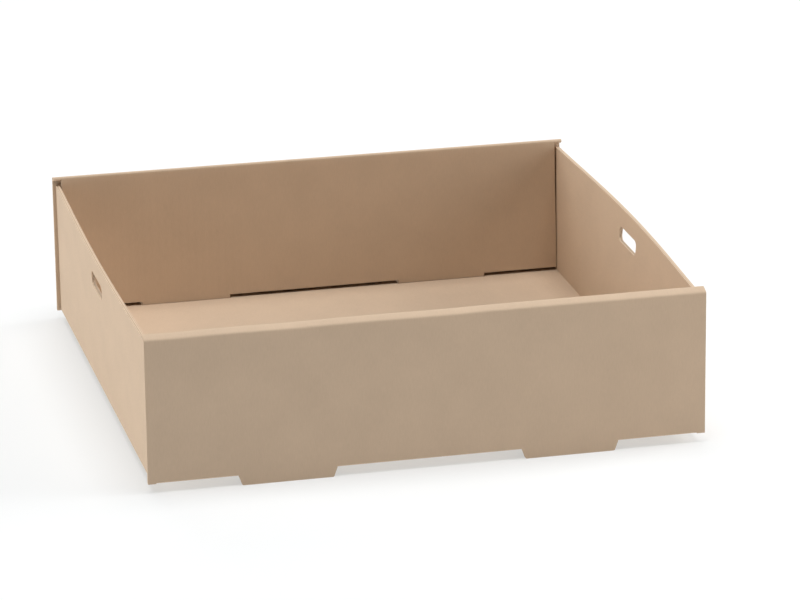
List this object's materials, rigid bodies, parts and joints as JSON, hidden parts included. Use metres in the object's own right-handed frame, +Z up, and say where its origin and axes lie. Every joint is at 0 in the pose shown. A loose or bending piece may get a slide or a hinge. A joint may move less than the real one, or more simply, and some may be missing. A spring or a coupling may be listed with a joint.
{
  "type": "cardboard tray box",
  "caption": "Square open tray folded from one sheet of kraft corrugated board, with rolled front and back walls, hand slots and small feet.",
  "frame": {"origin": "under the middle of the tray, in the plane that its four feet stand on", "axes": "+X along the rolled front and back walls, +Y from the front wall to the back wall, +Z up"},
  "size_m": [0.229, 0.225, 0.0651],
  "materials": {
    "kraft_board": "plain matt kraft corrugated board, uncoated"
  },
  "bodies": {
    "root": {"folded_tray": "kraft_board"}
  },
  "joints": []
}
